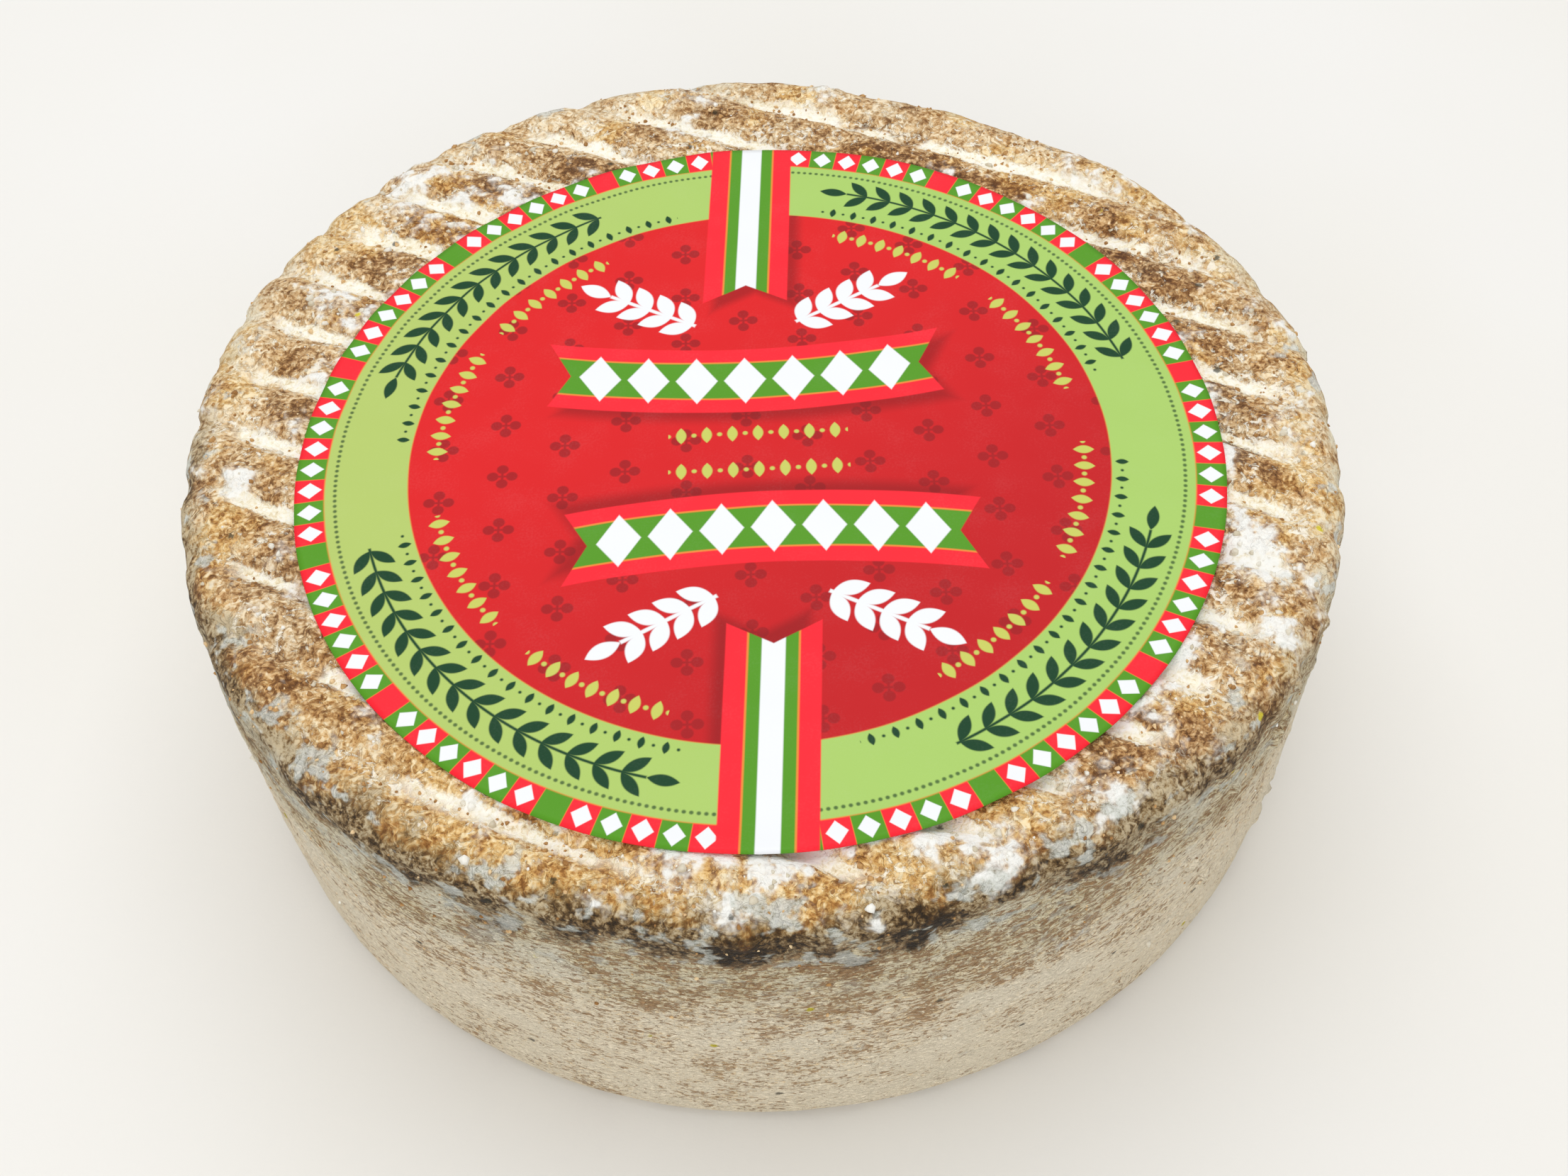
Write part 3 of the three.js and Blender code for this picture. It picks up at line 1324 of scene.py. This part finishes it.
    def colour(self, sheet: FinishSheet, place: Sock) -> Sock:
        """Works out the ink at each point of the label.

        Args:
            sheet: The material's tree.
            place: The point, in millimetres.

        Returns:
            The colour.
        """
        mm_x, mm_y, _ = sheet.split(place)
        x = (mm_x - LABEL_MIDDLE[0]) / LABEL_RADIUS
        y = (mm_y - LABEL_MIDDLE[1]) / LABEL_RADIUS
        r = sheet.length(x, y)
        degrees = sheet.math("ARCTAN2", y, x) * (180 / math.pi)
        half_turn = sheet.math("SIGN", y)
        fx, fy, turn = x * half_turn, y * half_turn, degrees % 180

        # Painted shade: the red field is painted darker towards the front right, where less light falls on
        # it.
        painted_shade_share = sheet.step(x * 0.6 - y * 0.8, -0.5, 0.7)
        ink = sheet.mix(painted_shade_share, LabelInk.RED.value, LabelInk.PAINTED_SHADE_RED.value)
        ink = sheet.mix(self._rosettes(sheet, x, y) * 0.9, ink, LabelInk.ROSETTE.value)

        shade_x, shade_y = fx - 0.022, fy + 0.026
        ribbon_shade, _, _ = self._ribbon(sheet, shade_x, shade_y, 0.022)
        pennant_shade, _ = self._pennant(sheet, shade_x, shade_y, 0.018)
        shade = sheet.most(ribbon_shade, pennant_shade)
        ink = sheet.mix(shade * 0.6, ink, LabelInk.SHADOW.value)

        words: Sock | None = None
        for start, end in self.word_turns:
            inside = self._between(sheet, turn, start, end) * ((turn - start) * TO_ARC)
            words = inside if words is None else words + inside
        at, row_half = self.word_radius, self.row_half
        marks = self._marks(sheet, words * at, r - at, 0.0471, self.mark_tall)
        row = self._marks(sheet, fx + row_half, fy - 0.052, 0.056, self.mark_tall)
        row = row * (abs(fx) < row_half)
        ink = sheet.mix(sheet.most(marks * (words > 0), row), ink, LabelInk.LEAF_YELLOW.value)

        ink = sheet.mix(self._sprigs(sheet, fx, fy), ink, LabelInk.PAPER.value)

        inside, along, across = self._ribbon(sheet, fx, fy, self.soft)
        side = abs(across)
        cloth = sheet.mix(sheet.cover(side - 0.56, 0.02), LabelInk.BRIGHT_RED.value, LabelInk.GREEN.value)
        cloth = sheet.mix(sheet.cover(abs(side - 0.57) - 0.022, 0.02), cloth, LabelInk.KEYLINE.value)
        step = 0.108
        lozenge = abs((along + step / 2) % step - step / 2) / 0.047 + side / 0.72 - 1
        lozenges = sheet.cover(lozenge, 0.05) * (abs(along) < step * 3.5)
        cloth = sheet.mix(lozenges, cloth, LabelInk.PAPER.value)
        ink = sheet.mix(inside, ink, cloth)

        ink = self._band(sheet, ink, x, r, degrees, turn)
        ink = self._block_ring(sheet, ink, r, degrees)

        inside, side = self._pennant(sheet, fx, fy, self.soft)
        cloth = sheet.mix(sheet.cover(side - 0.052, 0.002), LabelInk.BRIGHT_RED.value, LabelInk.GREEN.value)
        cloth = sheet.mix(sheet.cover(abs(side - 0.052) - 0.002, 0.002), cloth, LabelInk.KEYLINE.value)
        cloth = sheet.mix(sheet.cover(side - 0.024, 0.002), cloth, LabelInk.PAPER.value)
        return sheet.mix(inside, ink, cloth)

    def _band(
        self, sheet: FinishSheet, ink: Sock, x: Sock, r: Sock, degrees: Sock, turn: Sock
    ) -> Sock:
        """Lays the light-green band and its garlands over the ink so far.

        Args:
            sheet: The material's tree.
            ink: The ink so far.
            x: The way to the right.
            r: The distance from the label's middle.
            degrees: The angle about the middle.
            turn: That angle within half a turn.

        Returns:
            The ink with the band on it.
        """
        green = sheet.mix(sheet.step(x, 0.3, -0.9), LabelInk.BAND.value, LabelInk.BAND_WARM.value)
        step = 3.9
        second = turn > 95
        along = turn - sheet.blend(second, 15.5, 115.0)
        pairs = sheet.blend(second, 15.0, 12.0)
        at = self.garland_radius
        reach = step * TO_ARC * at
        garland = self._leaves(sheet, along * (TO_ARC * at), r - at, pairs, reach, *self.garland_leaf)
        arcs = self._between(sheet, turn, 14, 78) + self._between(sheet, turn, 103, 176)
        at = self.small_radius
        small = self._marks(sheet, turn * (TO_ARC * at), r - at, 0.050, 0.0145) * arcs
        spacing = 0.9
        dot_along = abs(degrees % spacing - spacing / 2) * (TO_ARC * self.fine_radius)
        off = r - self.fine_radius
        dots = sheet.length(dot_along, off) - 0.0042
        fine = sheet.cover(dots, self.soft) * 0.8
        dark = sheet.most(sheet.most(garland, small), fine)
        green = sheet.mix(dark, green, LabelInk.DARK_GREEN.value)
        edge = sheet.cover(abs(r - self.band_inner) - 0.001, self.soft)
        green = sheet.mix(edge, green, LabelInk.KEYLINE.value)
        return sheet.mix(sheet.cover(self.band_inner - r, self.soft), ink, green)

    def _block_ring(self, sheet: FinishSheet, ink: Sock, r: Sock, degrees: Sock) -> Sock:
        """Lays the ring of red and green blocks over the ink so far.

        Args:
            sheet: The material's tree.
            ink: The ink so far.
            r: The distance from the label's middle.
            degrees: The angle about the middle.

        Returns:
            The ink with the ring on it.
        """
        count = degrees / self.block_turn + 200.5
        number = sheet.math("FLOOR", count)
        along = abs(count - number - 0.5)
        odd = (number % 2) > 0.5
        block = sheet.mix(odd, LabelInk.GREEN.value, LabelInk.BRIGHT_RED.value)
        width = self.block_turn * TO_ARC
        middle = (1 + self.ring_inner) / 2
        lozenge = along * (width / 0.0225) + abs(r - middle) / 0.026 - 1
        lettered = (number % self.blocks_to_gap) > 0.5
        block = sheet.mix(sheet.cover(lozenge, 0.08) * lettered, block, LabelInk.PAPER.value)
        seam = sheet.cover(0.488 - along, 0.02)
        line = sheet.most(seam, sheet.cover(r - self.ring_inner - 0.0022, self.soft))
        block = sheet.mix(line * 0.8, block, LabelInk.KEYLINE.value)
        return sheet.mix(sheet.cover(self.ring_inner - r, self.soft), ink, block)


@dataclass(frozen=True)
class PaperFinish:
    """Coated paper with satin ink."""

    design: LabelPrint = field(default_factory=LabelPrint)

    def material(self) -> bpy.types.Material:
        """Builds the printed paper.

        Returns:
            The material.
        """
        sheet = FinishSheet("label_paper")
        place = sheet.place()
        ink = self.design.colour(sheet, place)
        fibre = sheet.noise(place, 0.5, 2, 0.6)
        cloud = sheet.noise(place, 9, 2)
        worn = sheet.clamp((fibre - 0.5) * 0.05 + (cloud - 0.5) * 0.04)
        ink = sheet.mix(worn, ink, LabelInk.PAPER.value)
        height = fibre * 0.012 + cloud * 0.10
        return sheet.finish(
            {
                "Base Color": ink,
                "Roughness": 0.42 + fibre * 0.14,
                "Specular IOR Level": 0.18,
                "Normal": sheet.relief(height),
            }
        )


@dataclass
class PaperLabel:
    """The round label: thin paper that bridges the grooves and lifts a little at its edge."""

    thickness: float = 0.25
    height: float = 90.42
    wave_size: float = 26.0
    lift: float = 0.75
    lift_size: float = 34.0
    around: int = 480
    rings: int = 70
    rack: RackPrint = field(default_factory=RackPrint)

    def build(self, material: bpy.types.Material) -> bpy.types.Object:
        """Cuts the paper round and lays it over the grooves.

        Args:
            material: The printed paper.

        Returns:
            The label as one closed mesh.
        """
        sheet = ShapeSheet(
            "laid_label",
            {
                "Radius": LABEL_RADIUS,
                "Thickness": self.thickness,
                "Height": self.height,
                "Around": self.around,
                "Rings": self.rings,
            },
        )
        shape = sheet.blank(sheet.size("Around"), 1, sheet.size("Rings"), 1.0)
        x, y, z = sheet.split(sheet.spot())
        spread = sheet.size("Radius")
        laid = sheet.join(
            x * spread + LABEL_MIDDLE[0],
            y * spread + LABEL_MIDDLE[1],
            sheet.size("Height") + z * sheet.size("Thickness"),
        )
        shape = sheet.move_to(shape, laid)
        place = sheet.place()
        x, y, z = sheet.split(place)
        level = sheet.join(x, y, 0)
        dx, dy = x - LABEL_MIDDLE[0], y - LABEL_MIDDLE[1]
        share = sheet.length(dx, dy) / LABEL_RADIUS
        edge = sheet.step(share, 0.90, 1.0)
        distance = self.rack.distance(sheet, sheet.join(x, y, self.height))
        groove = sheet.step(distance, self.rack.spacing / 2, 0)
        sag = groove * (0.16 + edge * 0.14)
        wave = (sheet.noise(level, self.wave_size, 1) - 0.5) * (0.30 + edge * 0.7)
        front = sheet.step(dx * 0.35 - dy * 0.94, 40, 100)
        lift = edge * front * (0.5 + sheet.noise(level, self.lift_size, 1)) * self.lift
        rise = sheet.most(wave + lift - sag + 0.10, -0.22)
        shape = sheet.push(shape, sheet.join(0, 0, rise))
        return sheet.make("paper_disc", shape, material)


@dataclass(frozen=True)
class CrumbFinish:
    """Loose mould and rind in a few shades, picked by each crumb's own tone."""

    name: str
    colours: Shades
    size: float

    def material(self) -> bpy.types.Material:
        """Builds the crumb.

        Returns:
            The material, which reads tone from the mesh.
        """
        sheet = FinishSheet(self.name)
        place = sheet.place()
        tone = sheet.attribute(TONE)
        grain = sheet.noise(place, self.size, 2, 0.6)
        value = sheet.step(tone * 0.7 + grain * 0.6, 0.2, 1.1)
        colour = sheet.ramp(value, list(zip((0.0, 0.5, 1.0), self.colours)))
        return sheet.finish(
            {
                "Base Color": colour,
                "Roughness": 0.82 + grain * 0.16,
                "Specular IOR Level": 0.25,
                "Sheen Weight": 0.1,
                "Normal": sheet.relief(grain * 0.25),
            }
        )


class CrumbKind(Enum):
    """What lies loose on the rind."""

    TUFT = "mould_tufts"
    GRAIN = "rind_grains"


class Draw(IntEnum):
    """The seed of each thing that is drawn at random for a crumb."""

    TURN_X = 11
    TURN_Y = 12
    TURN_Z = 13
    SIZE = 14
    STRETCH_X = 15
    STRETCH_Y = 16
    STRETCH_Z = 17
    TONE = 18


@dataclass
class CrumbScatter:
    """Crumbs that cling to the rind, scattered by a fixed draw."""

    kind: CrumbKind
    finish: CrumbFinish
    per_square_metre: float
    radius: tuple[float, float]
    seed: int
    fineness: int = 1
    mould: MouldGrowth = field(default_factory=MouldGrowth)

    def _density(self, sheet: ShapeSheet) -> Sock:
        """How densely crumbs lie, as a share of the full density.

        Args:
            sheet: The tree.

        Returns:
            0 for none to 1 for the full density.
        """
        place = sheet.place()
        x, y, z = sheet.split(place)
        rim = sheet.carried(RIM_PATH)
        from_label = sheet.from_label(x, y)
        on_top = sheet.step(rim, 8, 0) * (z > 60)
        open_face = sheet.most(from_label > 2.2, z < 84) * (z > 3)
        mould = self.mould.amount(sheet, place, rim)
        if self.kind is CrumbKind.TUFT:
            return (mould * (0.1 + on_top) + on_top * 0.04 + 0.004) * open_face
        clumps = sheet.step(sheet.noise(place, 11, 2), 0.42, 0.62)
        bare = 1 - sheet.step(mould, 0.0, 0.4)
        return (on_top * (0.25 + clumps) + clumps * sheet.step(rim, 60, 8) * 0.22) * open_face * bare

    def build(self, wheel: bpy.types.Object) -> bpy.types.Object:
        """Scatters the crumbs over the wheel.

        Args:
            wheel: The wheel they cling to.

        Returns:
            All the crumbs as one mesh.
        """
        sheet = ShapeSheet(
            f"scattered_{self.kind.value}",
            {
                "Wheel": wheel,
                "Density": float(self.per_square_metre),
                "Least Radius": self.radius[0] * MM,
                "Most Radius": self.radius[1] * MM,
                "Fineness": self.fineness,
                "Seed": self.seed,
            },
        )
        source = sheet.add("GeometryNodeObjectInfo", None, {"Object": sheet.size("Wheel")})
        points = sheet.add(
            "GeometryNodeDistributePointsOnFaces",
            {"distribute_method": "RANDOM"},
            {
                "Mesh": Sock(sheet, source.outputs["Geometry"]),
                "Density": sheet.size("Density") * self._density(sheet),
                "Seed": sheet.size("Seed"),
            },
        )
        ball = sheet.add(
            "GeometryNodeMeshIcoSphere", None, {"Radius": 1.0, "Subdivisions": sheet.size("Fineness")}
        )
        spot = sheet.spot()
        lumpy = sheet.add(
            "GeometryNodeSetPosition",
            None,
            {
                "Geometry": Sock(sheet, ball.outputs["Mesh"]),
                "Offset": sheet.scale(spot, (sheet.noise(spot, 0.55, 1) - 0.5) * 2.4),
            },
        )
        turns = (Draw.TURN_X, Draw.TURN_Y, Draw.TURN_Z)
        spin = sheet.join(*(sheet.random(0.0, math.tau, draw) for draw in turns))
        mostly_small = sheet.random(0.0, 1.0, Draw.SIZE) ** 2
        size = sheet.blend(mostly_small, sheet.size("Least Radius"), sheet.size("Most Radius"))
        stretches = (Draw.STRETCH_X, Draw.STRETCH_Y, Draw.STRETCH_Z)
        stretch = sheet.join(*(sheet.random(0.7, 1.3, draw) for draw in stretches))
        turned = sheet.add("FunctionNodeEulerToRotation", None, {0: spin})
        laid = sheet.add(
            "GeometryNodeInstanceOnPoints",
            None,
            {
                "Points": Sock(sheet, points.outputs["Points"]),
                "Instance": Sock(sheet, lumpy.outputs[0]),
                "Rotation": Sock(sheet, turned.outputs[0]),
                "Scale": sheet.scale(stretch, size),
            },
        )
        toned = sheet.store(Sock(sheet, laid.outputs[0]), TONE, sheet.random(0.0, 1.0, Draw.TONE), "INSTANCE")
        return sheet.make(self.kind.value, toned, self.finish.material())


@dataclass(frozen=True)
class FloorFinish:
    """Pale matt board."""

    light: Colour = paint(240, 239, 237)
    deep: Colour = paint(235, 232, 224)

    def material(self) -> bpy.types.Material:
        """Builds the board.

        Returns:
            The material.
        """
        sheet = FinishSheet("studio_floor")
        place = sheet.place()
        cloud = sheet.noise(place, 160, 2)
        grain = sheet.noise(place, 0.9, 2)
        return sheet.finish(
            {
                "Base Color": sheet.mix(cloud, self.light, self.deep),
                "Roughness": 0.62 + grain * 0.1,
                "Specular IOR Level": 0.2,
                "Normal": sheet.relief(grain * 0.02),
            }
        )


@dataclass(frozen=True)
class SoftLight:
    """One square soft light that faces the wheel, in metres and watts."""

    name: str
    place: tuple[float, float, float]
    size: float
    power: float

    def hang(self) -> None:
        """Puts the light up."""
        data = bpy.data.lights.new(self.name, "AREA")
        data.size = self.size
        data.energy = self.power
        light = bpy.data.objects.new(self.name, data)
        light.location = self.place
        to_wheel = Vector((0, 0, 0.05)) - Vector(self.place)
        light.rotation_euler = to_wheel.to_track_quat("-Z", "Y").to_euler()
        bpy.context.collection.objects.link(light)


@dataclass
class Studio:
    """The pale floor, the soft lights and the camera."""

    floor_half: float = 4.0
    floor_gap: float = 0.00005
    lens: float = 43.94
    elevation: float = math.radians(52.32)
    roll: float = math.radians(-2.45)
    location: tuple[float, float, float] = (0.0051, -0.2868, 0.4001)
    sky_colour: Colour = (0.99, 0.995, 1.0, 1.0)
    sky_strength: float = 0.64
    lights: tuple[SoftLight, ...] = (
        SoftLight("key_light", (-0.04, 0.42, 1.5), 1.6, 12.0),
        SoftLight("fill_light", (-0.12, -1.4, 0.8), 1.4, 7.4),
    )

    def build(self) -> None:
        """Sets up the floor, the lights, the sky and the camera."""
        self._lay_floor()
        for light in self.lights:
            light.hang()
        self._light_sky()
        self._aim_camera()

    def _lay_floor(self) -> None:
        """Lays one wide flat board under the wheel."""
        half = self.floor_half
        mesh = bpy.data.meshes.new("floor")
        low = -self.floor_gap
        corners = [(-half, -half, low), (half, -half, low), (half, half, low), (-half, half, low)]
        mesh.from_pydata(corners, [], [(0, 1, 2, 3)])
        mesh.materials.append(FloorFinish().material())
        floor = bpy.data.objects.new("floor", mesh)
        bpy.context.collection.objects.link(floor)

    def _light_sky(self) -> None:
        """Lights the scene evenly from all round."""
        world = bpy.data.worlds.new("studio_sky")
        world.use_nodes = True
        sky = NodeSheet(world.node_tree)
        world.node_tree.nodes.clear()
        lit = {"Color": self.sky_colour, "Strength": self.sky_strength}
        glow = sky.add("ShaderNodeBackground", None, lit)
        sky.add("ShaderNodeOutputWorld", None, {"Surface": Sock(sky, glow.outputs[0])})
        bpy.context.scene.world = world
        bpy.context.scene.view_settings.view_transform = "Standard"

    def _aim_camera(self) -> None:
        """Points the camera down at the wheel from the front."""
        data = bpy.data.cameras.new("camera")
        data.lens = self.lens
        data.sensor_width = 36.0
        data.clip_start = 0.01
        camera = bpy.data.objects.new("camera", data)
        tilt = Matrix.Rotation(math.pi / 2 - self.elevation, 4, "X")
        turn = Matrix.Rotation(self.roll, 4, "Z")
        camera.matrix_world = Matrix.Translation(self.location) @ tilt @ turn
        bpy.context.collection.objects.link(camera)
        bpy.context.scene.camera = camera


def seat(piece: bpy.types.Object, node: str | None = None) -> None:
    """Joins a finished piece to the wheel's one body and reports it.

    Args:
        piece: The finished piece.
        node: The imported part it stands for, if any.
    """
    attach(piece, "root")
    if node:
        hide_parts(node)
    LOG.info("%s: %d faces", piece.name, len(piece.data.polygons))


def main() -> None:
    """Builds the wheel, its label, what clings to it, and the studio round them."""
    logging.basicConfig(level=logging.INFO, format="%(name)s: %(message)s")
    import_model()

    Studio().build()
    wheel = CheeseWheel().build(RindFinish().material())
    seat(wheel, "cheese_wheel")
    label = PaperLabel().build(PaperFinish().material())
    seat(label, "paper_label")

    tuft_finish = CrumbFinish("mould_tuft", shades((206, 194, 168), (232, 226, 210), (246, 244, 236)), 1.0)
    grain_finish = CrumbFinish("rind_grain", shades((150, 104, 54), (204, 160, 104), (240, 212, 166)), 0.7)
    for crumbs in (
        CrumbScatter(CrumbKind.TUFT, tuft_finish, per_square_metre=130000, radius=(0.25, 0.95), seed=5),
        CrumbScatter(CrumbKind.GRAIN, grain_finish, per_square_metre=120000, radius=(0.25, 0.65), seed=9),
    ):
        seat(crumbs.build(wheel))


if __name__ == "__main__":
    main()
